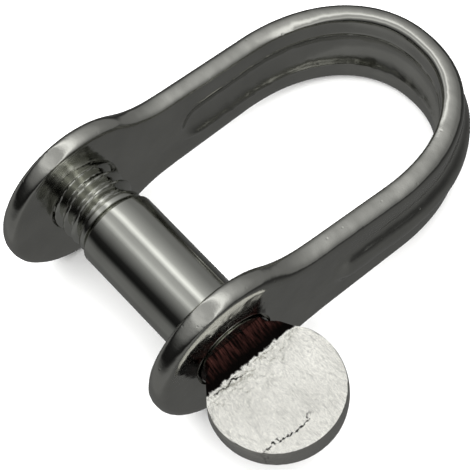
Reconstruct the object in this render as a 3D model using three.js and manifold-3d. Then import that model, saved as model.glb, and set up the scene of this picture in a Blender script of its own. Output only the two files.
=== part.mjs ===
// A pressed strip shackle with a screw pin, lying on its side.
// The model is drawn round the pin: X runs along the pin from its threaded tip to its head,
// Y runs from the eyes to the crown, and Z runs across the strip. The last lines then lay the
// whole shackle on the plane z = 0, centred in X and Y. The eyes are wider than the crown, so
// it rests on both eyes and on the crown's edge, tilted about the pin. All sizes are in millimetres.
import * as THREE from 'three';
import { mergeVertices } from 'three/addons/utils/BufferGeometryUtils.js';
import Module from 'manifold-3d';

const wasm = await Module();
wasm.setup();

// The strip and its bow
const STRIP_THICKNESS = 1.4;
const INSIDE_WIDTH = 12.1;
const CROWN_START = 12.5;
const CROWN_HEIGHT = 8.65;
const CROWN_SQUARENESS = 2.16;
const EYE_RADIUS = 5.4;
const NECK_FILLET = 6.6;
const NECK_HALF_WIDTH = 3.3;
const CROWN_HALF_WIDTH = 3.05;
const EDGE_ROUND = 0.45;

// The rib pressed outwards along the middle of the strip
const RIB_START = 7.3;
const RIB_HALF_WIDTH = 1.3;
const RIB_HEIGHT = 0.5;
const RIB_BEVEL = 0.35;
const GROOVE_HALF_WIDTH = 1.4;

// The pin
const SHANK_RADIUS = 2.5;
const SHOULDER = -3.2;
const SHOULDER_CHAMFER = 0.15;
const UNDERCUT_RADIUS = 2.0;
const UNDERCUT_LENGTH = 0.2;
const COLLAR_RADIUS = 2.28;
const COLLAR_LENGTH = 0.55;
const COLLAR_CHAMFER = 0.1;
const TIP = -8.3;
const TIP_CHAMFER = 0.55;
const HEAD_CENTRE = 11.07;
const HEAD_RADIUS = 4.08;
const HEAD_THICKNESS = 1.6;
const HEAD_TURN = THREE.MathUtils.degToRad(6);
const RAMP_START = 7.5;
const RAMP_END = 8.9;
const RAMP_TOP = 1.6;
const WAIST_HALF_WIDTH = 2.1;
const WAIST_FLARE = 0.8;

// How far the crown dips when the shackle lies on its eyes and its crown
const REST_TILT = THREE.MathUtils.degToRad(6.33);

// The M5 thread, and the play between the pin's thread and the eye's
const PITCH = 0.8;
const CREST_RADIUS = 2.35;
const ROOT_RADIUS = 1.9;
const CREST_FLAT = 0.1;
const FLANK_SLOPE = Math.tan(THREE.MathUtils.degToRad(30));
const FLANK_PLAY = 0.08;
const CREST_PLAY = 0.1;
const ROOT_PLAY = 0.13;
const PLAIN_BORE_RADIUS = 2.65;
const COUNTERSINK_RADIUS = 2.6;

const ROUND_SEGMENTS = 48;
const ARC_SEGMENTS = 20;
const BEVEL_SEGMENTS = 2;
const STEPS_PER_TURN = 24;
const CROWN_STEPS = 32;
const OVERLAP = 0.1;

const LEG_MIDDLE = (INSIDE_WIDTH + STRIP_THICKNESS) / 2;
const OUTER_FACE = INSIDE_WIDTH / 2 + STRIP_THICKNESS;
const CROWN_TOP = CROWN_START + CROWN_HEIGHT + STRIP_THICKNESS / 2;

/** Turns a closed three.js geometry into a solid for booleans. */
function solidOf(geometry) {
  const bare = geometry.clone();
  bare.deleteAttribute('normal');
  bare.deleteAttribute('uv');
  const merged = mergeVertices(bare, 1e-5);
  return new wasm.Manifold(new wasm.Mesh({
    numProp: 3,
    vertProperties: new Float32Array(merged.attributes.position.array),
    triVerts: new Uint32Array(merged.index.array),
  }));
}

/** Turns a solid back into a three.js geometry. */
function geometryOf(solid) {
  const mesh = solid.getMesh();
  const geometry = new THREE.BufferGeometry();
  geometry.setAttribute('position', new THREE.BufferAttribute(mesh.vertProperties, 3));
  geometry.setIndex(new THREE.BufferAttribute(mesh.triVerts, 1));
  geometry.computeVertexNormals();
  return geometry;
}

/** A solid of revolution about X, from a profile of [x, radius] pairs. */
function turned(profile, segments = ROUND_SEGMENTS) {
  const points = profile.map(([x, radius]) => new THREE.Vector2(radius, x));
  const geometry = new THREE.LatheGeometry(points, segments);
  geometry.rotateZ(-Math.PI / 2);
  return solidOf(geometry);
}

/** Extrudes a shape drawn in X and Y to both sides of z = 0, with its edges bevelled. */
function extrudedAcross(shape, halfWidth, bevel) {
  const geometry = new THREE.ExtrudeGeometry(shape, {
    depth: 2 * (halfWidth - bevel),
    bevelEnabled: bevel > 0,
    bevelThickness: bevel,
    bevelSize: bevel,
    bevelOffset: -bevel,
    bevelSegments: BEVEL_SEGMENTS,
    curveSegments: ARC_SEGMENTS,
  });
  geometry.translate(0, 0, bevel - halfWidth);
  return geometry;
}

/** Extrudes a shape drawn in Y and Z to both sides of x = 0, with its edges bevelled. */
function extrudedSideways(shape, halfWidth, bevel) {
  const turn = new THREE.Matrix4().makeBasis(
    new THREE.Vector3(0, 1, 0),
    new THREE.Vector3(0, 0, 1),
    new THREE.Vector3(1, 0, 0),
  );
  return solidOf(extrudedAcross(shape, halfWidth, bevel).applyMatrix4(turn));
}

/** The middle line of the bent strip, from one eye's centre over the crown to the other's. */
function middleLine() {
  const crown = [];
  for (let i = 0; i <= CROWN_STEPS; i++) {
    const angle = Math.PI * i / CROWN_STEPS;
    const power = 2 / CROWN_SQUARENESS;
    const across = Math.sign(Math.cos(angle)) * Math.abs(Math.cos(angle)) ** power;
    const up = Math.sin(angle) ** power;
    crown.push(new THREE.Vector2(LEG_MIDDLE * across, CROWN_START + CROWN_HEIGHT * up));
  }
  return [new THREE.Vector2(LEG_MIDDLE, 0), ...crown, new THREE.Vector2(-LEG_MIDDLE, 0)];
}

/** A line that runs beside the middle line, offset outwards. */
function besideMiddle(offset) {
  const line = middleLine();
  return line.map((point, i) => {
    const before = line[Math.max(i - 1, 0)];
    const after = line[Math.min(i + 1, line.length - 1)];
    const along = after.clone().sub(before).normalize();
    return new THREE.Vector2(point.x + along.y * offset, point.y - along.x * offset);
  });
}

/** The U-shaped area between two lines beside the middle line. */
function band(inner, outer) {
  return new THREE.Shape([...besideMiddle(outer), ...besideMiddle(inner).reverse()]);
}

/** The outline of an eye, its neck and its leg, in Y and Z, reaching into the crown. */
function legOutline() {
  const legEnd = CROWN_START + 1;
  const reach = EYE_RADIUS + NECK_FILLET;
  const filletHeight = NECK_HALF_WIDTH + NECK_FILLET;
  const filletY = Math.sqrt(reach ** 2 - filletHeight ** 2);
  const tangent = Math.atan2(filletHeight, filletY);
  const shape = new THREE.Shape();
  shape.absarc(0, 0, EYE_RADIUS, tangent, 2 * Math.PI - tangent, false);
  shape.absarc(filletY, -filletHeight, NECK_FILLET, Math.PI - tangent, Math.PI / 2, true);
  shape.lineTo(legEnd, -CROWN_HALF_WIDTH);
  shape.lineTo(legEnd, CROWN_HALF_WIDTH);
  shape.absarc(filletY, filletHeight, NECK_FILLET, -Math.PI / 2, tangent - Math.PI, true);
  return shape;
}

/** A round-ended strip in Y and Z that limits the rib or the groove to its own length. */
function ribLimit(halfWidth) {
  const centre = RIB_START + halfWidth;
  const shape = new THREE.Shape();
  shape.absarc(centre, 0, halfWidth, Math.PI / 2, 3 * Math.PI / 2, false);
  shape.lineTo(CROWN_TOP + 2, -halfWidth);
  shape.lineTo(CROWN_TOP + 2, halfWidth);
  return extrudedSideways(shape, OUTER_FACE + 2, 0);
}

/** A ridge along the strip between two offsets, as wide as the rib or the groove. */
function alongStrip(inner, outer, halfWidth, bevel) {
  const ridge = solidOf(extrudedAcross(band(inner, outer), halfWidth, bevel));
  return ridge.intersect(ribLimit(halfWidth));
}

/** A box that takes in the whole shackle between two places along it. */
function lengthwiseBox(from, to) {
  const box = new THREE.BoxGeometry(4 * OUTER_FACE, to - from, 4 * EYE_RADIUS);
  return solidOf(box.translate(0, (from + to) / 2, 0));
}

/** The strip, bent and cut to its outline, with its rib pressed out. */
function pressedStrip() {
  const half = STRIP_THICKNESS / 2;
  const leg = extrudedSideways(legOutline(), half, EDGE_ROUND);
  const bothLegs = leg.translate([LEG_MIDDLE, 0, 0]).add(leg.translate([-LEG_MIDDLE, 0, 0]));
  const legs = bothLegs.intersect(lengthwiseBox(-2 * EYE_RADIUS, CROWN_START));
  const crown = solidOf(extrudedAcross(band(-half, half), CROWN_HALF_WIDTH, EDGE_ROUND))
    .intersect(lengthwiseBox(CROWN_START - OVERLAP, 2 * CROWN_TOP));
  const rib = alongStrip(0, half + RIB_HEIGHT, RIB_HALF_WIDTH, RIB_BEVEL);
  const groove = alongStrip(-half - 1, RIB_HEIGHT - half, GROOVE_HALF_WIDTH, RIB_BEVEL);
  return legs.add(crown).add(rib).subtract(groove);
}

/** A right-hand helix about X. Its frames keep the section in the plane of the axis. */
class ThreadHelix extends THREE.Curve {
  constructor(start, length, radius) {
    super();
    this.start = start;
    this.length = length;
    this.radius = radius;
  }

  angleAt(t) {
    return 2 * Math.PI * (this.start + this.length * t) / PITCH;
  }

  getPoint(t, target = new THREE.Vector3()) {
    const angle = this.angleAt(t);
    const x = this.start + this.length * t;
    return target.set(x, this.radius * Math.cos(angle), this.radius * Math.sin(angle));
  }

  computeFrenetFrames(segments) {
    const frames = { tangents: [], normals: [], binormals: [] };
    for (let i = 0; i <= segments; i++) {
      const angle = this.angleAt(i / segments);
      frames.tangents.push(new THREE.Vector3(0, -Math.sin(angle), Math.cos(angle)));
      frames.normals.push(new THREE.Vector3(0, Math.cos(angle), Math.sin(angle)));
      frames.binormals.push(new THREE.Vector3(-1, 0, 0));
    }
    return frames;
  }
}

/** A thread ridge from an inner to an outer radius, with play added to its flanks. */
function threadRidge(start, length, inner, outer, play) {
  const halfWidthAt = (radius) => CREST_FLAT / 2 + (CREST_RADIUS - radius) * FLANK_SLOPE + play;
  const section = new THREE.Shape([
    new THREE.Vector2(0, -halfWidthAt(inner)),
    new THREE.Vector2(outer - inner, -halfWidthAt(outer)),
    new THREE.Vector2(outer - inner, halfWidthAt(outer)),
    new THREE.Vector2(0, halfWidthAt(inner)),
  ]);
  const steps = Math.round(STEPS_PER_TURN * length / PITCH);
  const extrudePath = new ThreadHelix(start, length, inner);
  return solidOf(new THREE.ExtrudeGeometry(section, { steps, extrudePath, bevelEnabled: false }));
}

/** The threaded hole through the far eye, as the solid that the tap takes away. */
function tappedHole() {
  const outside = -OUTER_FACE;
  const inside = -INSIDE_WIDTH / 2;
  const run = 2 * PITCH;
  const minor = ROOT_RADIUS + ROOT_PLAY;
  const flare = COUNTERSINK_RADIUS - minor;
  const core = turned([
    [outside - 1, 0],
    [outside - 1, COUNTERSINK_RADIUS],
    [outside, COUNTERSINK_RADIUS],
    [outside + flare / 2, minor],
    [inside - flare / 2, minor],
    [inside, COUNTERSINK_RADIUS],
    [inside + 1, COUNTERSINK_RADIUS],
    [inside + 1, 0],
  ], 2 * STEPS_PER_TURN);
  const length = STRIP_THICKNESS + 2 * run;
  const ridge = threadRidge(outside - run, length, minor - OVERLAP, CREST_RADIUS + CREST_PLAY, FLANK_PLAY);
  return core.add(ridge);
}

/** The bow with its two eyes: the plain one at the head and the tapped one at the tip. */
function shackleBody() {
  const plainHole = turned([
    [INSIDE_WIDTH / 2 - 1, 0],
    [INSIDE_WIDTH / 2 - 1, PLAIN_BORE_RADIUS],
    [OUTER_FACE + 1, PLAIN_BORE_RADIUS],
    [OUTER_FACE + 1, 0],
  ]);
  return geometryOf(pressedStrip().subtract(plainHole).subtract(tappedHole()));
}

/** The smooth part of the pin, from the shoulder to where the head's ramps begin. */
function pinShank() {
  return geometryOf(turned([
    [SHOULDER, 0],
    [SHOULDER, SHANK_RADIUS - SHOULDER_CHAMFER],
    [SHOULDER + SHOULDER_CHAMFER, SHANK_RADIUS],
    [RAMP_START, SHANK_RADIUS],
    [RAMP_START, 0],
  ]));
}

/** The undercut, the collar and the thread, down to the chamfered tip. */
function pinThread() {
  const collarEnd = SHOULDER - UNDERCUT_LENGTH;
  const collarStart = collarEnd - COLLAR_LENGTH;
  const core = turned([
    [TIP, 0],
    [TIP, ROOT_RADIUS - OVERLAP],
    [TIP + OVERLAP, ROOT_RADIUS],
    [collarStart - COLLAR_CHAMFER, ROOT_RADIUS],
    [collarStart, COLLAR_RADIUS - COLLAR_CHAMFER],
    [collarStart + COLLAR_CHAMFER, COLLAR_RADIUS],
    [collarEnd - COLLAR_CHAMFER, COLLAR_RADIUS],
    [collarEnd, UNDERCUT_RADIUS],
    [SHOULDER, UNDERCUT_RADIUS],
    [SHOULDER, 0],
  ], 2 * STEPS_PER_TURN);
  const envelope = turned([
    [TIP, 0],
    [TIP, CREST_RADIUS - TIP_CHAMFER],
    [TIP + TIP_CHAMFER, CREST_RADIUS + OVERLAP],
    [collarStart - PITCH / 2, CREST_RADIUS + OVERLAP],
    [collarStart, ROOT_RADIUS],
    [collarStart, 0],
  ], 2 * STEPS_PER_TURN);
  const length = collarStart - TIP + PITCH;
  const ridge = threadRidge(TIP - PITCH / 2, length, ROOT_RADIUS - OVERLAP, CREST_RADIUS, 0);
  return geometryOf(core.add(ridge.intersect(envelope)));
}

/** The outline that the head's waist is pinched to, which flares from the shank out to the head's round. */
function headOutline() {
  const reach = HEAD_CENTRE + HEAD_RADIUS + 1;
  const far = WAIST_HALF_WIDTH + WAIST_FLARE * (reach - RAMP_START);
  const near = WAIST_HALF_WIDTH - WAIST_FLARE;
  const outline = new THREE.Shape();
  outline.moveTo(RAMP_START - 1, near);
  outline.lineTo(RAMP_START - 1, -near);
  outline.lineTo(reach, -far);
  outline.lineTo(reach, far);
  return outline;
}

/** The head: a ball on the end of the pin, pressed flat between two dies, with a ramp on each side. */
function pinHead() {
  const profile = [[RAMP_START, 0], [RAMP_START, SHANK_RADIUS]];
  const rootAngle = Math.asin(SHANK_RADIUS / HEAD_RADIUS);
  const arcSteps = 28;
  for (let i = 0; i < arcSteps; i++) {
    const angle = (Math.PI - rootAngle) * (1 - i / arcSteps);
    profile.push([HEAD_CENTRE + HEAD_RADIUS * Math.cos(angle), HEAD_RADIUS * Math.sin(angle)]);
  }
  profile.push([HEAD_CENTRE + HEAD_RADIUS, 0]);
  const flat = HEAD_THICKNESS / 2;
  const pressed = new THREE.Shape();
  pressed.moveTo(RAMP_START - 1, RAMP_TOP);
  pressed.lineTo(RAMP_START - 1, -RAMP_TOP);
  pressed.lineTo(RAMP_START, -RAMP_TOP);
  pressed.lineTo(RAMP_END, -flat);
  pressed.lineTo(HEAD_CENTRE + HEAD_RADIUS + 1, -flat);
  pressed.lineTo(HEAD_CENTRE + HEAD_RADIUS + 1, flat);
  pressed.lineTo(RAMP_END, flat);
  pressed.lineTo(RAMP_START, RAMP_TOP);
  const dies = extrudedAcross(pressed, HEAD_RADIUS + 1, 0);
  dies.rotateX(Math.PI / 2);
  const waist = solidOf(extrudedAcross(headOutline(), HEAD_RADIUS + 1, 0));
  const head = geometryOf(turned(profile).intersect(solidOf(dies)).intersect(waist));
  return head.rotateX(HEAD_TURN - REST_TILT);
}

/** A named mesh in polished stainless steel of the given finish. */
function piece(name, geometry, color, roughness) {
  const material = new THREE.MeshStandardMaterial({ color, roughness, metalness: 1 });
  const mesh = new THREE.Mesh(geometry, material);
  mesh.name = name;
  return mesh;
}

const shackle = new THREE.Group();
const bow = piece('shackle_body', shackleBody(), 0x9a9b97, 0.25);
bow.rotation.x = -REST_TILT;
shackle.add(bow);

const screwPin = new THREE.Group();
screwPin.add(piece('pin_shank', pinShank(), 0xa9aba6, 0.15));
screwPin.add(piece('pin_thread', pinThread(), 0x8f918c, 0.25));
screwPin.add(piece('pin_head', pinHead(), 0xc9cac4, 0.35));
shackle.add(screwPin);

const extent = new THREE.Box3().setFromObject(shackle, true);
const middle = extent.getCenter(new THREE.Vector3());
shackle.position.set(-middle.x, -middle.y, -extent.min.z);

const part = new THREE.Group();
part.add(shackle);

export default part;
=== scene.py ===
"""A pressed strip shackle in polished stainless steel, with its screw pin.

The bow is one strip: blanked flat with an eye at each end, deburred, given a rib along its middle,
and bent into a bow. The pin is turned, threaded at its tip, and pressed flat at its head.
Sizes are in millimetres unless a name says otherwise, and are drawn from the pin's axis:
X runs along the pin to its head, Y from the eyes to the crown, and Z across the strip.
"""

import logging
import math
from bisect import bisect_right
from dataclasses import dataclass, replace
from enum import Enum
from typing import Callable, Iterable

import bmesh
import bpy
from mathutils import Matrix, Vector, noise

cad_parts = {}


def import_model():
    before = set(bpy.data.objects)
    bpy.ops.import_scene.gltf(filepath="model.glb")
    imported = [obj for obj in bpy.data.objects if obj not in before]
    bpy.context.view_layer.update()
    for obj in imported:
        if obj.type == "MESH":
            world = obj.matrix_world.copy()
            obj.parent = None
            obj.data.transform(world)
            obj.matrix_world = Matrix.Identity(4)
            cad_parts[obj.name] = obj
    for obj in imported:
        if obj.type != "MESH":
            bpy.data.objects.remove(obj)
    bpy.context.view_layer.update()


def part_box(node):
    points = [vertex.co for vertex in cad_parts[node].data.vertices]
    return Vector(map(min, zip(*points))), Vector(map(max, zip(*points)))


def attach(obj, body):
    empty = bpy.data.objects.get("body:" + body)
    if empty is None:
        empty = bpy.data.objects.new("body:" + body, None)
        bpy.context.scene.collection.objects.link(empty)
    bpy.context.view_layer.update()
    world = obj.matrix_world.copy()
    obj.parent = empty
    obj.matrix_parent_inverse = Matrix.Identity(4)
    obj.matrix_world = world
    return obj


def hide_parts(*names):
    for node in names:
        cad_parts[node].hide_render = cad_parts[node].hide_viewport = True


logging.basicConfig(level=logging.INFO, format="%(message)s")
log = logging.getLogger("shackle")

MM = 0.001


def linear(colour: str) -> tuple[float, float, float, float]:
    """Turns an sRGB hex colour into linear light.

    Args:
        colour: The colour as six hex digits after a hash sign.

    Returns:
        Linear red, green, blue and full alpha.
    """
    parts = [int(colour[i : i + 2], 16) / 255 for i in (1, 3, 5)]
    light = [p / 12.92 if p <= 0.04045 else ((p + 0.055) / 1.055) ** 2.4 for p in parts]
    return (*light, 1.0)


def smooth_step(value: float) -> float:
    """Eases a value from 0 to 1, held level outside that range."""
    held = min(max(value, 0.0), 1.0)
    return held * held * (3 - 2 * held)


def add_node(tree: bpy.types.NodeTree, kind: str, inputs: dict | None = None, **settings) -> bpy.types.Node:
    """Adds a node with its settings, its input values and its links.

    Args:
        tree: The node tree that takes it.
        kind: The node's type.
        inputs: Each input's name or number, with its value or the socket that feeds it.
        **settings: The node's own properties.

    Returns:
        The new node.
    """
    node = tree.nodes.new(kind)
    for name, value in settings.items():
        setattr(node, name, value)
    for name, value in (inputs or {}).items():
        if isinstance(value, bpy.types.NodeSocket):
            tree.links.new(value, node.inputs[name])
        else:
            node.inputs[name].default_value = value
    return node


def sum_node(
    tree: bpy.types.NodeTree, operation: str, first: bpy.types.NodeSocket, second: object = 0.0
) -> bpy.types.NodeSocket:
    """Works out one sum inside a node tree.

    Args:
        tree: The node tree.
        operation: The math node's operation.
        first: The first value's socket.
        second: The second value, or the socket that feeds it.

    Returns:
        The result's socket.
    """
    return add_node(tree, "ShaderNodeMath", {0: first, 1: second}, operation=operation).outputs[0]


def deselect_everything() -> None:
    """Leaves no object selected, because operators act on all that is."""
    bpy.ops.object.select_all(action="DESELECT")


def pick(*objects: bpy.types.Object) -> None:
    """Selects these objects only, and makes the first one active."""
    deselect_everything()
    for thing in objects:
        thing.select_set(True)
    bpy.context.view_layer.objects.active = objects[0]


def laid_grid(name: str, columns: int, rows: int, place: Callable[[int, int], Vector]) -> bpy.types.Object:
    """Adds a grid and lays each of its points where a function says.

    Args:
        name: The new object's name.
        columns: How many faces the grid has in its first direction.
        rows: How many faces it has in its second direction.
        place: Gives a point's position in metres from its column and its row.

    Returns:
        The grid's object.
    """
    deselect_everything()
    bpy.ops.mesh.primitive_grid_add(x_subdivisions=columns, y_subdivisions=rows, size=1)
    grid = bpy.context.object
    grid.name = name
    for vertex in grid.data.vertices:
        column = round((vertex.co.x + 0.5) * columns)
        row = round((vertex.co.y + 0.5) * rows)
        vertex.co = place(column, row)
    return grid


def select_edges(thing: bpy.types.Object, wanted: Callable[[bmesh.types.BMEdge], bool]) -> None:
    """Selects the edges that a test picks, on the object in edit mode.

    Args:
        thing: The object in edit mode.
        wanted: Says whether an edge is selected.
    """
    bpy.ops.mesh.select_mode(type="EDGE")
    bpy.ops.mesh.select_all(action="DESELECT")
    mesh = bmesh.from_edit_mesh(thing.data)
    for edge in mesh.edges:
        if wanted(edge):
            edge.select_set(True)
    bmesh.update_edit_mesh(thing.data)


def close_up(thing: bpy.types.Object, merge_mm: float = 0.002) -> None:
    """Merges an object's doubled points and turns its faces outwards.

    Args:
        thing: The object to close up.
        merge_mm: How close two points have to be to become one.
    """
    pick(thing)
    bpy.ops.object.mode_set(mode="EDIT")
    bpy.ops.mesh.select_all(action="SELECT")
    bpy.ops.mesh.remove_doubles(threshold=merge_mm * MM)
    bpy.ops.mesh.normals_make_consistent(inside=False)
    bpy.ops.object.mode_set(mode="OBJECT")


def smooth(thing: bpy.types.Object, angle: float = 40) -> None:
    """Shades an object smooth up to an angle, and keeps its large faces flat.

    Args:
        thing: The object to shade.
        angle: The sharpest fold that is still smooth, in degrees.
    """
    pick(thing)
    bpy.ops.object.shade_smooth_by_angle(angle=math.radians(angle))
    bpy.ops.object.modifier_add(type="WEIGHTED_NORMAL")
    thing.modifiers[-1].keep_sharp = True
    bpy.ops.object.modifier_apply(modifier=thing.modifiers[-1].name)


class Lay(Enum):
    """Which way the fine lines of a finish run."""

    TUMBLED = (1.0, 1.0, 1.0)
    ROUND_THE_PIN = (9.0, 1.0, 1.0)
    ALONG_THE_PIN = (1.0, 7.0, 7.0)


@dataclass(frozen=True)
class SteelFinish:
    """Stainless steel with a mirror that waves a little, fine lines, and scattered pits."""

    name: str
    colour: str
    shade: str
    roughness: float
    wave_width: float
    wave_depth: float
    line_width: float
    line_depth: float
    lay: Lay
    pit_spacing: float = 0.9
    pit_depth: float = 0.0
    cloud_width: float = 2.2

    def material(self) -> bpy.types.Material:
        """Makes the finish's material."""
        material = bpy.data.materials.new(self.name)
        material.use_nodes = True
        tree = material.node_tree
        shader = tree.nodes["Principled BSDF"]
        shader.inputs["Metallic"].default_value = 1.0
        place = add_node(tree, "ShaderNodeTexCoord").outputs["Object"]
        self._tint(tree, shader, place)
        self._relief(tree, shader, place)
        return material

    def _tint(self, tree: bpy.types.NodeTree, shader: bpy.types.Node, place: bpy.types.NodeSocket) -> None:
        """Clouds the metal's colour and its polish a little, over a few millimetres."""
        cloud = add_node(
            tree,
            "ShaderNodeTexNoise",
            {"Vector": place, "Scale": 1 / (self.cloud_width * MM), "Detail": 4.0},
        )
        tint = add_node(tree, "ShaderNodeMix", {0: cloud.outputs["Fac"]}, data_type="RGBA")
        tint.inputs[6].default_value = linear(self.shade)
        tint.inputs[7].default_value = linear(self.colour)
        tree.links.new(tint.outputs[2], shader.inputs["Base Color"])
        polish = add_node(
            tree,
            "ShaderNodeMapRange",
            {
                "Value": cloud.outputs["Fac"],
                "From Min": 0.3,
                "From Max": 0.7,
                "To Min": self.roughness * 1.25,
                "To Max": self.roughness * 0.8,
            },
        )
        tree.links.new(polish.outputs["Result"], shader.inputs["Roughness"])

    def _relief(self, tree: bpy.types.NodeTree, shader: bpy.types.Node, place: bpy.types.NodeSocket) -> None:
        """Gives the surface its waves, its fine lines and its pits, each at its real depth."""
        wave = add_node(
            tree, "ShaderNodeTexNoise", {"Vector": place, "Scale": 1 / (self.wave_width * MM), "Detail": 2.0}
        )
        waved = add_node(
            tree, "ShaderNodeBump", {"Height": wave.outputs["Fac"], "Distance": self.wave_depth * MM}
        )
        stretched = add_node(tree, "ShaderNodeMapping", {"Vector": place, "Scale": self.lay.value})
        lines = add_node(
            tree,
            "ShaderNodeTexNoise",
            {"Vector": stretched.outputs["Vector"], "Scale": 1 / (self.line_width * MM), "Detail": 3.0},
        )
        lined = add_node(
            tree,
            "ShaderNodeBump",
            {
                "Height": lines.outputs["Fac"],
                "Distance": self.line_depth * MM,
                "Normal": waved.outputs["Normal"],
            },
        )
        last = lined
        if self.pit_depth:
            cells = add_node(
                tree, "ShaderNodeTexVoronoi", {"Vector": place, "Scale": 1 / (self.pit_spacing * MM)}
            )
            pits = add_node(
                tree,
                "ShaderNodeMapRange",
                {"Value": cells.outputs["Distance"], "From Min": 0.04, "From Max": 0.14},
            )
            last = add_node(
                tree,
                "ShaderNodeBump",
                {
                    "Height": pits.outputs["Result"],
                    "Distance": self.pit_depth * MM,
                    "Normal": lined.outputs["Normal"],
                },
            )
        tree.links.new(last.outputs["Normal"], shader.inputs["Normal"])


# Cold rolled stainless strip, pressed and then tumbled bright: a dark mirror with a soft wave in it,
# a fine grain with no direction, and small pits where the grit has struck.
TUMBLED_STRIP = SteelFinish(
    name="tumbled_stainless_strip",
    colour="#CFCFC8",
    shade="#B4B4AE",
    roughness=0.12,
    wave_width=2.2,
    wave_depth=0.09,
    line_width=0.16,
    line_depth=0.003,
    lay=Lay.TUMBLED,
    pit_spacing=0.7,
    pit_depth=0.007,
)

# Bright drawn stainless bar: a clear mirror with long streaks, and fine rings left by turning.
DRAWN_BAR = SteelFinish(
    name="bright_drawn_stainless_bar",
    colour="#D2D3CC",
    shade="#BCBDB6",
    roughness=0.07,
    wave_width=2.4,
    wave_depth=0.012,
    line_width=0.5,
    line_depth=0.002,
    lay=Lay.ROUND_THE_PIN,
)

@dataclass(frozen=True)
class Crease:
    """A fold that the flowing metal has left across a flat, painted in as a dark line of shade, in
    millimetres from the head's centre.
    """

    place: float
    low: float
    high: float
    width: float = 0.09
    wander: float = 0.22


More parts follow.
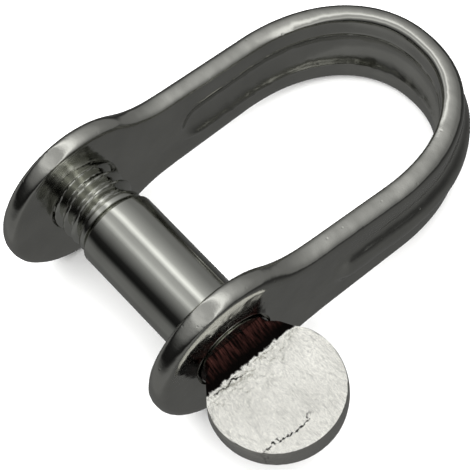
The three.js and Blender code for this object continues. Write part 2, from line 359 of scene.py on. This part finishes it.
@dataclass(frozen=True)
class CoinedFinish(SteelFinish):
    """Steel pressed between dies: crinkled flats with folds painted in as dark lines of shade, and scored
    ramps painted with a dark reddish reflection.

    Places along X are in millimetres from the head's centre, and the centre itself is in metres.
    """

    centre: tuple[float, float, float] = (0.0, 0.0, 0.0)
    ramp_end: float = -2.17
    ramp_edge_blend: float = 0.05
    ramp_edge_grain: float = 0.3
    ramp_wander: float = 0.12
    # Painted reflection on the ramps, dark and reddish. The dark colour also paints the shade in the folds.
    ramp_reflection_light: str = "#50302B"
    dark_reflection_and_shade: str = "#0B0908"
    dark_run: float = 0.35
    light_run: float = 1.2
    score_width: float = 0.09
    score_stretch: float = 0.1
    fold_grain: float = 0.5
    fold_ragged_grain: float = 0.16
    fold_fade: float = 0.6
    creases: tuple[Crease, ...] = ()

    def _tint(self, tree: bpy.types.NodeTree, shader: bpy.types.Node, place: bpy.types.NodeSocket) -> None:
        """Clouds the flats a little, paints a dark reddish reflection on the ramps, and paints shade into
        the folds.
        """
        super()._tint(tree, shader, place)
        flat_colour = shader.inputs["Base Color"].links[0].from_socket
        own = self._from_centre(tree, place)
        along = add_node(tree, "ShaderNodeSeparateXYZ", {"Vector": own}).outputs["X"]
        jag = self._noise(tree, own, self.ramp_edge_grain, self.ramp_wander)
        edge = sum_node(tree, "ADD", along, jag)
        blend = self.ramp_edge_blend
        on_ramp = self._between(tree, edge, self.ramp_end + blend, self.ramp_end - blend)
        folds = self._folds(tree, own)
        # Paints shade into the folds, in the dark reflection colour.
        fold_shaded = add_node(tree, "ShaderNodeMix", {0: folds, 6: flat_colour}, data_type="RGBA")
        fold_shaded.inputs[7].default_value = linear(self.dark_reflection_and_shade)
        # Paints the ramps with a dark reddish reflection over the flats' colour.
        ramp = self._ramp_reflection(tree, own, edge)
        whole = add_node(
            tree, "ShaderNodeMix", {0: on_ramp, 6: fold_shaded.outputs[2], 7: ramp}, data_type="RGBA"
        )
        tree.links.new(whole.outputs[2], shader.inputs["Base Color"])

    def _ramp_reflection(
        self, tree: bpy.types.NodeTree, own: bpy.types.NodeSocket, edge: bpy.types.NodeSocket
    ) -> bpy.types.NodeSocket:
        """Gives the ramp's painted reflection: dark at its foot, with lighter reddish score lines further
        up.

        Args:
            tree: The node tree.
            own: The place from the head's centre.
            edge: The place along the pin, with the ramp's ragged edge added to it.

        Returns:
            The colour's socket.
        """
        stretch = (self.score_stretch, 1.0, self.score_stretch)
        scored = add_node(tree, "ShaderNodeMapping", {"Vector": own, "Scale": stretch}).outputs["Vector"]
        score = add_node(
            tree,
            "ShaderNodeTexNoise",
            {"Vector": scored, "Scale": 1 / (self.score_width * MM), "Detail": 3.0},
        )
        lines = add_node(
            tree, "ShaderNodeMapRange", {"Value": score.outputs["Fac"], "From Min": 0.4, "From Max": 0.7}
        )
        up_ramp = self._between(tree, edge, self.ramp_end - self.dark_run, self.ramp_end - self.light_run)
        lit = sum_node(tree, "MULTIPLY", lines.outputs["Result"], up_ramp)
        # Mixes the painted reflection from its dark foot and its lighter reddish score lines.
        ramp = add_node(tree, "ShaderNodeMix", {0: lit}, data_type="RGBA")
        ramp.inputs[6].default_value = linear(self.dark_reflection_and_shade)
        ramp.inputs[7].default_value = linear(self.ramp_reflection_light)
        return ramp.outputs[2]

    def _from_centre(self, tree: bpy.types.NodeTree, place: bpy.types.NodeSocket) -> bpy.types.NodeSocket:
        """Centres the pattern's place on the head."""
        back = tuple(-value for value in self.centre)
        return add_node(tree, "ShaderNodeMapping", {"Vector": place, "Location": back}).outputs["Vector"]

    def _noise(
        self, tree: bpy.types.NodeTree, place: bpy.types.NodeSocket, width: float, reach: float
    ) -> bpy.types.NodeSocket:
        """Gives a wandering distance, in metres.

        Args:
            tree: The node tree.
            place: Where the noise is read.
            width: How wide the noise's clouds are, in millimetres.
            reach: How far it wanders either way, in millimetres.

        Returns:
            The distance's socket.
        """
        cloud = add_node(
            tree, "ShaderNodeTexNoise", {"Vector": place, "Scale": 1 / (width * MM), "Detail": 3.0}
        )
        return add_node(
            tree,
            "ShaderNodeMapRange",
            {
                "Value": cloud.outputs["Fac"],
                "From Min": 0.3,
                "From Max": 0.7,
                "To Min": -reach * MM,
                "To Max": reach * MM,
            },
        ).outputs["Result"]

    def _between(
        self, tree: bpy.types.NodeTree, value: bpy.types.NodeSocket, start: float, end: float
    ) -> bpy.types.NodeSocket:
        """Rises from 0 to 1 while a distance goes from one place to another.

        Args:
            tree: The node tree.
            value: The distance's socket, in metres.
            start: Where it is 0, in millimetres.
            end: Where it is 1, in millimetres.

        Returns:
            The result's socket.
        """
        return add_node(
            tree, "ShaderNodeMapRange", {"Value": value, "From Min": start * MM, "From Max": end * MM}
        ).outputs["Result"]

    def _folds(self, tree: bpy.types.NodeTree, own: bpy.types.NodeSocket) -> bpy.types.NodeSocket:
        """Gives 1 inside the folds, where shade is painted, and 0 elsewhere."""
        parts = add_node(tree, "ShaderNodeSeparateXYZ", {"Vector": own}).outputs
        total = None
        for crease in self.creases:
            fold = self._fold(tree, own, parts, crease)
            total = fold if total is None else sum_node(tree, "MAXIMUM", total, fold)
        return total

    def _fold(
        self,
        tree: bpy.types.NodeTree,
        own: bpy.types.NodeSocket,
        parts: bpy.types.bpy_prop_collection,
        crease: Crease,
    ) -> bpy.types.NodeSocket:
        """Gives 1 inside one fold.

        Args:
            tree: The node tree.
            own: The place from the head's centre.
            parts: The same place as separate X, Y and Z sockets.
            crease: The fold.

        Returns:
            The result's socket.
        """
        wander = self._noise(tree, own, self.fold_grain, crease.wander)
        moved = sum_node(tree, "ADD", parts["X"], wander)
        off = sum_node(tree, "ADD", moved, -crease.place * MM)
        away = sum_node(tree, "ABSOLUTE", off)
        ragged = self._noise(tree, own, self.fold_ragged_grain, crease.width)
        inside = self._between(tree, sum_node(tree, "ADD", away, ragged), crease.width, 0.0)
        after = self._between(tree, parts["Y"], crease.low, crease.low + self.fold_fade)
        before = self._between(tree, parts["Y"], crease.high, crease.high - self.fold_fade)
        return sum_node(tree, "MULTIPLY", inside, sum_node(tree, "MULTIPLY", after, before))


# Stainless upset cold between two dies: bright flats with the crinkle, the folds of metal that has flowed
# painted in as dark lines of shade, and scored ramps painted with a dark reddish reflection, as dark as the
# eye's face that they stand against and mirror.
COINED_HEAD = CoinedFinish(
    name="coined_stainless_head",
    colour="#F2F1EA",
    shade="#DCDBD4",
    roughness=0.2,
    wave_width=0.8,
    wave_depth=0.11,
    line_width=0.28,
    line_depth=0.012,
    lay=Lay.ALONG_THE_PIN,
    pit_spacing=0.7,
    pit_depth=0.008,
    creases=(Crease(2.62, -3.3, 0.6), Crease(-1.9, -3.4, -0.6, wander=0.15)),
)


@dataclass(frozen=True)
class PinDatum:
    """Where the pin's axis crosses the middle of the bow, in the row frame, in metres.

    The shackle lies on its eyes and its crown, so the strip dips about the pin by a few degrees.
    """

    origin: Vector
    dip: float = 6.33

    @classmethod
    def of_the_bow(cls) -> "PinDatum":
        """Finds it from the boxes: the bow is even on both sides, and the shank is round."""
        bow_low, bow_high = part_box("shackle_body")
        shank_low, shank_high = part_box("pin_shank")
        shank_middle = (shank_low + shank_high) / 2
        return cls(Vector(((bow_low.x + bow_high.x) / 2, shank_middle.y, shank_middle.z)))

    def at(self, x: float, y: float, z: float) -> Vector:
        """Gives a point's place in the row frame from its millimetres off the pin's axis."""
        turn = Matrix.Rotation(-math.radians(self.dip), 3, "X")
        return self.origin + MM * (turn @ Vector((x, y, z)))


@dataclass
class BendLine:
    """The middle line of the bent strip, up one leg, over the crown and down the other leg."""

    half_width: float = 6.75
    crown_start: float = 12.5
    crown_height: float = 8.65
    squareness: float = 2.16
    steps: int = 400

    def __post_init__(self) -> None:
        """Works out the line's points and how far along it each one lies."""
        self.points = [Vector((self.half_width, 0.0))]
        power = 2 / self.squareness
        for i in range(self.steps + 1):
            angle = math.pi * i / self.steps
            across = math.copysign(abs(math.cos(angle)) ** power, math.cos(angle))
            up = abs(math.sin(angle)) ** power
            self.points.append(
                Vector((self.half_width * across, self.crown_start + self.crown_height * up))
            )
        self.points.append(Vector((-self.half_width, 0.0)))
        self.reach = [0.0]
        for before, after in zip(self.points, self.points[1:]):
            self.reach.append(self.reach[-1] + (after - before).length)

    @property
    def length(self) -> float:
        """The line's length from one eye's centre to the other's."""
        return self.reach[-1]

    def point(self, along: float) -> Vector:
        """Gives the point that far along the line, which runs on straight past its ends."""
        if along <= 0:
            return Vector((self.half_width, along))
        if along >= self.length:
            return Vector((-self.half_width, self.length - along))
        i = bisect_right(self.reach, along) - 1
        part = (along - self.reach[i]) / (self.reach[i + 1] - self.reach[i])
        return self.points[i].lerp(self.points[i + 1], part)

    def outwards(self, along: float) -> Vector:
        """Gives the direction out of the bow at that point of the line."""
        step = 0.15
        ahead = (self.point(along + step) - self.point(along - step)).normalized()
        return Vector((ahead.y, -ahead.x))


@dataclass
class PressedBow:
    """The bow: a strip with an eye at each end, ribbed along its middle and bent."""

    datum: PinDatum
    line: BendLine
    finish: SteelFinish
    thickness: float = 1.4
    eye_radius: float = 5.39
    neck_fillet: float = 6.6
    neck_half_width: float = 3.3
    crown_half_width: float = 3.05
    plain_bore: float = 2.65
    tapped_bore: float = 2.42
    outer_edge_round: float = 0.7
    inner_edge_round: float = 0.45
    bore_edge_round: float = 0.12
    rib_start: float = 7.3
    rib_half_width: float = 1.35
    rib_slope: float = 1.1
    rib_height: float = 0.48
    groove_half_width: float = 1.4
    groove_depth: float = 0.42
    lip_height: float = 0.06
    lip_width: float = 0.26
    lip_wander: float = 0.05
    rib_columns: tuple[float, ...] = (
        *(0.3, 0.6, 0.8, 0.95, 1.1, 1.2, 1.3, 1.36, 1.42, 1.48),
        *(1.54, 1.6, 1.68, 1.8, 2.0),
    )
    rim: float = 0.85
    row_step: float = 0.2
    fillet_steps: int = 12
    eye_steps: int = 72
    eye_rings: tuple[float, ...] = (0.0, 0.12, 0.4, 0.7, 1.0)

    def build(self) -> bpy.types.Object:
        """Blanks, deburrs, presses and bends the strip.

        Returns:
            The finished bow.
        """
        bow = self._blank()
        self._deburr(bow)
        self._press_and_bend(bow)
        close_up(bow)
        smooth(bow)
        bow.data.materials.append(self.finish.material())
        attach(bow, "bow")
        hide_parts("shackle_body")
        log.info("%s: %d faces", bow.name, len(bow.data.polygons))
        return bow

    @property
    def neck_end(self) -> float:
        """How far from the eye's centre the neck's fillet ends and the straight strip begins."""
        centres = self.eye_radius + self.neck_fillet
        across = self.neck_half_width + self.neck_fillet
        return math.sqrt(centres**2 - across**2)

    def half_width(self, along: float) -> float:
        """Gives the strip's half width, which narrows from the neck to the crown."""
        from_end = min(along, self.line.length - along)
        part = (from_end - self.neck_end) / (self.line.crown_start - self.neck_end)
        part = min(max(part, 0.0), 1.0)
        return self.neck_half_width + part * (self.crown_half_width - self.neck_half_width)

    def _columns(self, along: float) -> list[float]:
        """Gives the places across the strip of its points, close together at the rib's flanks."""
        half = self.half_width(along)
        side = [*self.rib_columns, half - self.rim, half]
        return [-place for place in reversed(side)] + [0.0] + side

    def _eye_outline(self) -> list[Vector]:
        """Gives an eye's outline as (along, across), from the strip's one side round to the other."""
        half, fillet, eye = self.neck_half_width, self.neck_fillet, self.eye_radius
        across = self._columns(self.neck_end)
        outline = [Vector((self.neck_end, place)) for place in across]
        meet = math.atan2(self.neck_end, half + fillet)
        for i in range(1, self.fillet_steps + 1):
            angle = meet * i / self.fillet_steps
            outline.append(
                Vector(
                    (
                        self.neck_end - fillet * math.sin(angle),
                        half + fillet - fillet * math.cos(angle),
                    )
                )
            )
        for i in range(1, self.eye_steps):
            angle = meet - (math.pi + 2 * meet) * i / self.eye_steps
            outline.append(Vector((eye * math.sin(angle), eye * math.cos(angle))))
        for i in range(self.fillet_steps, 0, -1):
            angle = meet * i / self.fillet_steps
            outline.append(
                Vector(
                    (
                        self.neck_end - fillet * math.sin(angle),
                        -(half + fillet - fillet * math.cos(angle)),
                    )
                )
            )
        outline.append(outline[0])
        return outline

    def _eye_blank(self, name: str, bore: float, far: bool) -> bpy.types.Object:
        """Lays out one eye round its bore.

        Args:
            name: The new object's name.
            bore: The bore's radius.
            far: Whether it is the eye at the strip's far end.

        Returns:
            The flat eye.
        """
        outline = self._eye_outline()

        def place(column: int, row: int) -> Vector:
            """Gives a point between the bore and the outline."""
            edge = outline[column]
            reach = bore + (edge.length - bore) * self.eye_rings[row]
            along, across = edge.normalized() * reach
            if far:
                along = self.line.length - along
            return MM * Vector((along, across, 0.0))

        return laid_grid(name, len(outline) - 1, len(self.eye_rings) - 1, place)

    def _blank(self) -> bpy.types.Object:
        """Cuts the flat strip with its two eyes, and gives it its thickness."""
        start = self.neck_end
        length = self.line.length - 2 * start
        rows = round(length / self.row_step)
        columns = len(self._columns(start)) - 1

        def place(column: int, row: int) -> Vector:
            """Gives a point of the flat strip."""
            along = start + length * row / rows
            return MM * Vector((along, self._columns(along)[column], 0.0))

        strip = laid_grid("bow_strip", columns, rows, place)
        near = self._eye_blank("near_eye", self.plain_bore, far=False)
        far = self._eye_blank("far_eye", self.tapped_bore, far=True)
        pick(strip, near, far)
        bpy.ops.object.join()
        close_up(strip)
        bpy.ops.object.mode_set(mode="EDIT")
        bpy.ops.mesh.select_all(action="SELECT")
        bpy.ops.mesh.extrude_region_move(TRANSFORM_OT_translate={"value": (0, 0, self.thickness * MM)})
        bpy.ops.mesh.select_all(action="SELECT")
        bpy.ops.transform.translate(value=(0, 0, -self.thickness / 2 * MM))
        bpy.ops.mesh.normals_make_consistent(inside=False)
        bpy.ops.object.mode_set(mode="OBJECT")
        return strip

    def _deburr(self, bow: bpy.types.Object) -> None:
        """Rounds the blank's edges: the outer ones widely, and the inner ones and the bores little."""
        pick(bow)
        bpy.ops.object.mode_set(mode="EDIT")
        half = self.thickness / 2 * MM

        def at_bore(edge: bmesh.types.BMEdge) -> bool:
            """Says whether an edge lies on either bore."""
            middle = (edge.verts[0].co + edge.verts[1].co) / 2
            along = min(abs(middle.x), abs(middle.x - self.line.length * MM))
            return math.hypot(along, middle.y) < (self.plain_bore + 0.1) * MM

        def sharp(edge: bmesh.types.BMEdge, level: float) -> bool:
            """Says whether an edge is a right-angled one at that height."""
            at_level = all(abs(v.co.z - level) < half / 20 for v in edge.verts)
            return edge.calc_face_angle(0.0) > 1.0 and at_level

        rounds = (
            (self.outer_edge_round, 6, lambda e: sharp(e, half) and not at_bore(e)),
            (self.inner_edge_round, 3, lambda e: sharp(e, -half) and not at_bore(e)),
            (self.bore_edge_round, 2, lambda e: (sharp(e, half) or sharp(e, -half)) and at_bore(e)),
        )
        for size, segments, wanted in rounds:
            select_edges(bow, wanted)
            bpy.ops.mesh.bevel(offset=size * MM, segments=segments, affect="EDGES", clamp_overlap=False)
        bpy.ops.object.mode_set(mode="OBJECT")

    def _pressing(self, along: float, across: float, outside: bool) -> float:
        """Gives how far the rib's dies push a point outwards.

        Args:
            along: The point's place along the strip.
            across: Its place across the strip.
            outside: Whether it is on the strip's outer face.

        Returns:
            The push in millimetres.
        """
        from_end = min(along, self.line.length - along)
        if outside:
            short = max(self.rib_start + self.rib_half_width - from_end, 0.0)
            inset = self.rib_half_width - math.hypot(short, across)
            return self.rib_height * smooth_step(inset / self.rib_slope)
        short = max(self.rib_start + self.groove_half_width - from_end, 0.0)
        reach = math.hypot(short, across)
        half = self.groove_half_width + self.lip_wander * noise.noise(Vector((along * 2.3, 0.0, 0.0)))
        if reach < half:
            return self.groove_depth * (1 - (reach / half) ** 2)
        past = min((reach - half) / self.lip_width, 1.0)
        return -self.lip_height * math.sin(math.pi * past) ** 2

    def _press_and_bend(self, bow: bpy.types.Object) -> None:
        """Presses the rib out of the flat strip, and bends it round its middle line."""
        half = self.thickness / 2
        for vertex in bow.data.vertices:
            along, across, height = vertex.co / MM
            if abs(abs(height) - half) < half / 20:
                height += self._pressing(along, across, outside=height > 0)
            middle = self.line.point(along)
            out = self.line.outwards(along)
            vertex.co = self.datum.at(middle.x + out.x * height, middle.y + out.y * height, across)


@dataclass
class ScrewThread:
    """A right-hand metric thread round the pin's axis."""

    pitch: float = 0.8
    crest: float = 2.35
    root: float = 1.9
    crest_flat: float = 0.1

    def radius(self, x: float, angle: float, play: float = 0.0) -> float:
        """Gives the thread's radius at a place along the axis and round it."""
        turn = x / self.pitch - angle / (2 * math.pi)
        from_ridge = abs(turn - round(turn)) * self.pitch - self.crest_flat / 2 - play
        fall = max(from_ridge, 0.0) / math.tan(math.radians(30))
        return max(self.crest - fall, self.root)


@dataclass
class ScrewPin:
    """The pin: a shank with a shoulder, a collar, a thread, and a head pressed flat."""

    datum: PinDatum
    thread: ScrewThread
    shank_finish: SteelFinish
    head_finish: CoinedFinish
    shank_radius: float = 2.5
    shoulder: float = -3.2
    shoulder_round: float = 0.15
    undercut_radius: float = 2.0
    undercut_length: float = 0.2
    collar_radius: float = 2.28
    collar_length: float = 0.55
    collar_round: float = 0.12
    tip: float = -8.3
    tip_chamfer: float = 0.55
    head_centre: float = 11.07
    head_radius: float = 4.08
    head_thickness: float = 1.6
    head_turn: float = 6.0
    ramp_start: float = 7.5
    ramp_end: float = 8.9
    ramp_top: float = 1.6
    waist_half_width: float = 2.1
    waist_flare: float = 0.8
    # Head and shank are one piece of steel; this keeps their meeting faces apart as the head turns.
    hair_gap: float = 0.01
    around: int = 128

    def build(self) -> None:
        """Makes the shank, the threaded end and the head."""
        self._shank()
        self._threaded_end()
        self._head()

    def _rolled(
        self, name: str, stations: list[tuple[float, float]], thread: Callable[[float, float, float], float]
    ) -> bpy.types.Object:
        """Rolls a grid round the pin's axis.

        Args:
            name: The new object's name.
            stations: Each ring's place along the axis, with its radius.
            thread: Gives a point's radius from its place, its angle and its ring's radius.

        Returns:
            The closed piece.
        """

        def place(column: int, row: int) -> Vector:
            """Gives a point of the turned surface."""
            angle = 2 * math.pi * column / self.around
            x, radius = stations[row]
            radius = thread(x, angle, radius)
            return self.datum.at(x, radius * math.cos(angle), radius * math.sin(angle))

        piece = laid_grid(name, self.around, len(stations) - 1, place)
        close_up(piece)
        return piece

    def _shank(self) -> None:
        """Turns the smooth shank, from the shoulder's face to the start of the head's ramps."""
        quarter = [math.pi / 2 * i / 4 for i in range(5)]
        edge = self.shoulder + self.shoulder_round
        inner = self.shank_radius - self.shoulder_round
        stations = [(self.shoulder, 0.0), (self.shoulder, self.undercut_radius - 0.3)]
        small = self.shoulder_round
        stations += [(edge - small * math.cos(a), inner + small * math.sin(a)) for a in quarter]
        length = self.ramp_start - edge
        stations += [(edge + length * i / 12, self.shank_radius) for i in range(1, 13)]
        stations.append((self.ramp_start, 0.0))
        shank = self._rolled("pin_shank_turned", stations, lambda x, angle, radius: radius)
        self._finished(shank, self.shank_finish, "pin_travel", "pin_shank")

    def _threaded_end(self) -> None:
        """Cuts the undercut, the collar, the thread and the chamfered tip."""
        collar_end = self.shoulder - self.undercut_length
        collar_start = collar_end - self.collar_length
        small = self.collar_round
        stations = [
            (self.shoulder + 0.1, 0.0),
            (self.shoulder + 0.1, self.undercut_radius),
            (collar_end, self.undercut_radius),
            (collar_end - 0.02, self.collar_radius - small),
            (collar_end - small / 2, self.collar_radius - small / 3),
            (collar_end - small, self.collar_radius),
            (collar_start + small, self.collar_radius),
            (collar_start + small / 2, self.collar_radius - small / 3),
            (collar_start, self.collar_radius - small),
        ]
        run = collar_start - self.tip
        steps = round(run / self.thread.pitch * 22)
        stations += [(collar_start - run * i / steps, -1.0) for i in range(1, steps + 1)]
        stations += [(self.tip, 0.9), (self.tip, 0.0)]

        def threaded(x: float, angle: float, radius: float) -> float:
            """Gives the thread's radius inside its run-out and its tip's chamfer, where a ring has none."""
            if radius >= 0:
                return radius
            run_out = self.thread.root + (collar_start - x) * 0.9
            chamfer = self.thread.crest - self.tip_chamfer + (x - self.tip)
            return min(self.thread.radius(x, angle), max(run_out, self.thread.root), chamfer)

        end = self._rolled("pin_thread_cut", stations, threaded)
        self._finished(end, self.shank_finish, "pin_screw", "pin_thread")

    def _die_gap(self, x: float) -> float:
        """Gives half the gap between the two dies, which opens in a ramp towards the shank."""
        flat = self.head_thickness / 2
        part = (self.ramp_end - x) / (self.ramp_end - self.ramp_start)
        return flat + (self.ramp_top - flat) * max(part, 0.0)

    def _head(self) -> None:
        """Presses a ball and its stem flat between two dies, with a ramp on each side of the stem."""
        stations = self._ball_stations()

        def place(column: int, row: int) -> Vector:
            """Gives a point of the ball and its stem, from the ball's centre."""
            angle = 2 * math.pi * column / self.around
            x, radius = stations[row]
            return MM * Vector((x, radius * math.cos(angle), radius * math.sin(angle)))

        head = laid_grid("pin_head_coined", self.around, len(stations) - 1, place)
        close_up(head)
        self._score_die_edges(head)
        for vertex in head.data.vertices:
            vertex.co = MM * self._pressed(vertex.co / MM)
        centre = self.datum.at(self.head_centre, 0.0, 0.0)
        turn = Matrix.Rotation(math.radians(self.head_turn - self.datum.dip), 4, "X")
        head.data.transform(Matrix.Translation(centre) @ turn)
        close_up(head)
        finish = replace(self.head_finish, centre=tuple(centre))
        self._finished(head, finish, "pin_screw", "pin_head")

    def _score_die_edges(self, head: bpy.types.Object) -> None:
        """Cuts the ball's faces along every edge that the dies will leave in it."""
        pick(head)
        bpy.ops.object.mode_set(mode="EDIT")
        flat = self.head_thickness / 2
        end = self.ramp_end - self.head_centre
        rise = self.ramp_top - flat
        run = self.ramp_end - self.ramp_start
        edges = (
            ((end, 0, 0), (1, 0, 0)),
            ((0, 0, flat), (0, 0, 1)),
            ((0, 0, -flat), (0, 0, 1)),
            ((end, 0, flat), (rise, 0, run)),
            ((end, 0, -flat), (rise, 0, -run)),
            ((end - run, self.waist_half_width, 0), (-self.waist_flare, 1, 0)),
            ((end - run, -self.waist_half_width, 0), (self.waist_flare, 1, 0)),
        )
        for point, normal in edges:
            bpy.ops.mesh.select_all(action="SELECT")
            bpy.ops.mesh.bisect(plane_co=MM * Vector(point), plane_no=normal)
        bpy.ops.object.mode_set(mode="OBJECT")

    def _pressed(self, place: Vector) -> Vector:
        """Moves a point of the ball in to the dies, where it stands out past them."""
        along = place.x + self.head_centre
        gap = self._die_gap(along)
        waist = self.waist_half_width + self.waist_flare * (along - self.ramp_start)
        return Vector((place.x, min(max(place.y, -waist), waist), min(max(place.z, -gap), gap)))

    def _ball_stations(self) -> list[tuple[float, float]]:
        """Gives the rings of the stem and the ball, each a place from the ball's centre and a radius."""
        root = self.ramp_start + self.hair_gap - self.head_centre
        stem_angle = math.asin(self.shank_radius / self.head_radius)
        stations = [(root, self.shank_radius * part) for part in (0.0, 0.3, 0.6, 0.8, 1.0)]
        steps = 96
        for i in range(steps + 1):
            angle = (math.pi - stem_angle) * (1 - i / steps)
            stations.append((self.head_radius * math.cos(angle), self.head_radius * math.sin(angle)))
        return stations

    def _finished(
        self, piece: bpy.types.Object, finish: SteelFinish, body: str, node: str
    ) -> None:
        """Shades a piece, dresses it, and puts it on its body.

        Args:
            piece: The piece.
            finish: Its finish.
            body: The body it rides on.
            node: The CAD node it stands for.
        """
        smooth(piece)
        piece.data.materials.append(finish.material())
        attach(piece, body)
        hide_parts(node)
        log.info("%s: %d faces", piece.name, len(piece.data.polygons))


@dataclass
class Studio:
    """A pale floor under long soft lights that run parallel to the pin."""

    floor_colour: str = "#FBFBFA"
    floor_size: float = 3.0
    dip: float = 6.33
    # How bright the studio is round the pin's axis: degrees up from the strip's plane on the crown's
    # side, and brightness.
    surround: tuple[tuple[float, float], ...] = (
        (-180, 0.015),
        (-176, 0.03),
        (-170, 0.10),
        (-158, 0.19),
        (-135, 0.20),
        (-120, 0.15),
        (-90, 0.13),
        (-45, 0.12),
        (-28, 0.09),
        (-14, 0.05),
        (-2, 0.035),
        (4, 0.12),
        (9, 0.22),
        (30, 0.25),
        (45, 0.36),
        (57, 0.48),
        (68, 0.65),
        (76, 1.2),
        (81, 1.5),
        (86, 1.1),
        (93, 0.52),
        (105, 0.58),
        (116, 0.85),
        (122, 0.6),
        (129, 0.34),
        (141, 0.2),
        (153, 0.09),
        (163, 0.02),
        (176, 0.012),
    )
    background: float = 1.0
    ceiling_power: float = 11.0

    def build(self) -> None:
        """Lays the floor, hangs the light over it, and sets the surround."""
        deselect_everything()
        bpy.ops.mesh.primitive_plane_add(size=self.floor_size, location=(0, 0, -0.02 * MM))
        floor = bpy.context.object
        floor.name = "studio_floor"
        floor.visible_glossy = False
        floor.data.materials.append(self._paint())
        bpy.ops.object.light_add(type="AREA", location=(0, 0, 0.5))
        ceiling = bpy.context.object
        ceiling.name = "ceiling_light"
        ceiling.data.shape = "DISK"
        ceiling.data.size = 1.2
        ceiling.data.energy = self.ceiling_power
        ceiling.visible_glossy = False
        self._surround()
        bpy.context.scene.view_settings.view_transform = "Standard"

    def _paint(self) -> bpy.types.Material:
        """Makes the floor's paint."""
        paint = bpy.data.materials.new("pale_studio_floor")
        paint.use_nodes = True
        shader = paint.node_tree.nodes["Principled BSDF"]
        shader.inputs["Base Color"].default_value = linear(self.floor_colour)
        shader.inputs["Roughness"].default_value = 1.0
        shader.inputs["Specular IOR Level"].default_value = 0.0
        return paint

    def _surround(self) -> None:
        """Makes the bands of light and dark that the polished metal reflects."""
        world = bpy.data.worlds.new("studio_surround")
        bpy.context.scene.world = world
        world.use_nodes = True
        tree = world.node_tree
        tree.nodes.clear()
        direction = add_node(tree, "ShaderNodeTexCoord").outputs["Generated"]
        level = add_node(
            tree, "ShaderNodeMapping", {"Vector": direction, "Rotation": (math.radians(self.dip), 0.0, 0.0)}
        )
        parts = add_node(tree, "ShaderNodeSeparateXYZ", {"Vector": level.outputs["Vector"]}).outputs
        turned = add_node(tree, "ShaderNodeCombineXYZ", {"X": parts["Y"], "Y": parts["Z"]})
        round_pin = add_node(
            tree, "ShaderNodeTexGradient", {"Vector": turned.outputs["Vector"]}, gradient_type="RADIAL"
        )
        bands = add_node(tree, "ShaderNodeValToRGB", {"Fac": round_pin.outputs["Fac"]})
        ramp = bands.color_ramp
        while len(ramp.elements) > 1:
            ramp.elements.remove(ramp.elements[-1])
        first = True
        for degrees, light in self.surround:
            position = degrees / 360 + 0.5
            stop = ramp.elements[0] if first else ramp.elements.new(position)
            stop.position = position
            stop.color = (light, light, light, 1.0)
            first = False
        seen = add_node(tree, "ShaderNodeBackground", {"Color": bands.outputs["Color"], "Strength": 1.0})
        plain = add_node(
            tree, "ShaderNodeBackground", {"Color": linear("#FFFFFF"), "Strength": self.background}
        )
        camera_ray = add_node(tree, "ShaderNodeLightPath").outputs["Is Camera Ray"]
        mix = add_node(
            tree,
            "ShaderNodeMixShader",
            {0: camera_ray, 1: seen.outputs["Background"], 2: plain.outputs["Background"]},
        )
        add_node(tree, "ShaderNodeOutputWorld", {"Surface": mix.outputs["Shader"]})


@dataclass
class ViewCamera:
    """The camera: a long lens from above, on the head's side."""

    azimuth: float = 59.54
    elevation: float = 61.95
    roll: float = -11.25
    distance: float = 144.73
    lens: float = 188.386
    target: tuple[float, float, float] = (-2.644, -3.068, 2.965)

    def build(self) -> None:
        """Places the camera and makes it the scene's own."""
        around, above, roll = (math.radians(a) for a in (self.azimuth, self.elevation, self.roll))
        right = Vector((math.cos(around), math.sin(around), 0.0))
        back = Vector(
            (math.sin(around) * math.cos(above), -math.cos(around) * math.cos(above), math.sin(above))
        )
        turn = Matrix((right, back.cross(right), back)).transposed() @ Matrix.Rotation(roll, 3, "Z")
        place = MM * (Vector(self.target) + self.distance * back)
        bpy.ops.object.camera_add(location=place, rotation=turn.to_euler())
        camera = bpy.context.object
        camera.name = "view_camera"
        camera.data.lens = self.lens
        camera.data.sensor_width = 36.0
        camera.data.clip_start = 0.005
        bpy.context.scene.camera = camera


def main() -> None:
    """Builds the shackle, its studio and its camera."""
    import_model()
    datum = PinDatum.of_the_bow()
    PressedBow(datum, BendLine(), TUMBLED_STRIP).build()
    ScrewPin(datum, ScrewThread(), DRAWN_BAR, COINED_HEAD).build()
    Studio().build()
    ViewCamera().build()


if __name__ == "__main__":
    main()
